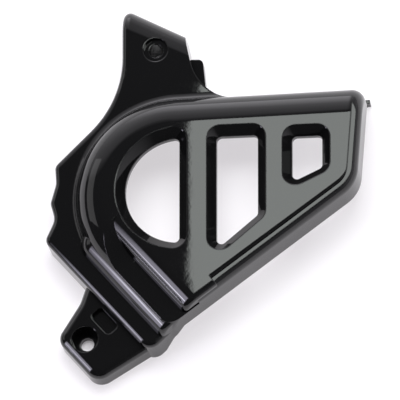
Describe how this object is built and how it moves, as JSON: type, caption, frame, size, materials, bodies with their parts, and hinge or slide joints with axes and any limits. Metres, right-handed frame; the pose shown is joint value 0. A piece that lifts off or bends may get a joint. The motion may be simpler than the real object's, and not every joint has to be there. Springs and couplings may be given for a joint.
{
  "type": "sprocket_cover",
  "caption": "Moulded front sprocket cover for a small motorbike: a domed hollow shell with bevelled windows, rolled flank steps, an upper tab and a lower foot for its fixing bolts.",
  "frame": {"origin": "midway between the two bolt axes, on the plane of the rims and boss ends that meet the engine case", "axes": "+Z points away from the engine, along the bolts and the sprocket axis; +Y points up from the lower bolt's end towards the upper tab, square to the roof's run; +X points along the bike, from the domed end towards the end where the chain leaves"},
  "size_m": [0.1496, 0.1778, 0.032],
  "materials": {
    "cover": "gloss black injection-moulded plastic with a faint orange-peel ripple"
  },
  "bodies": {
    "root": {"sprocket_cover": "cover"}
  },
  "joints": []
}
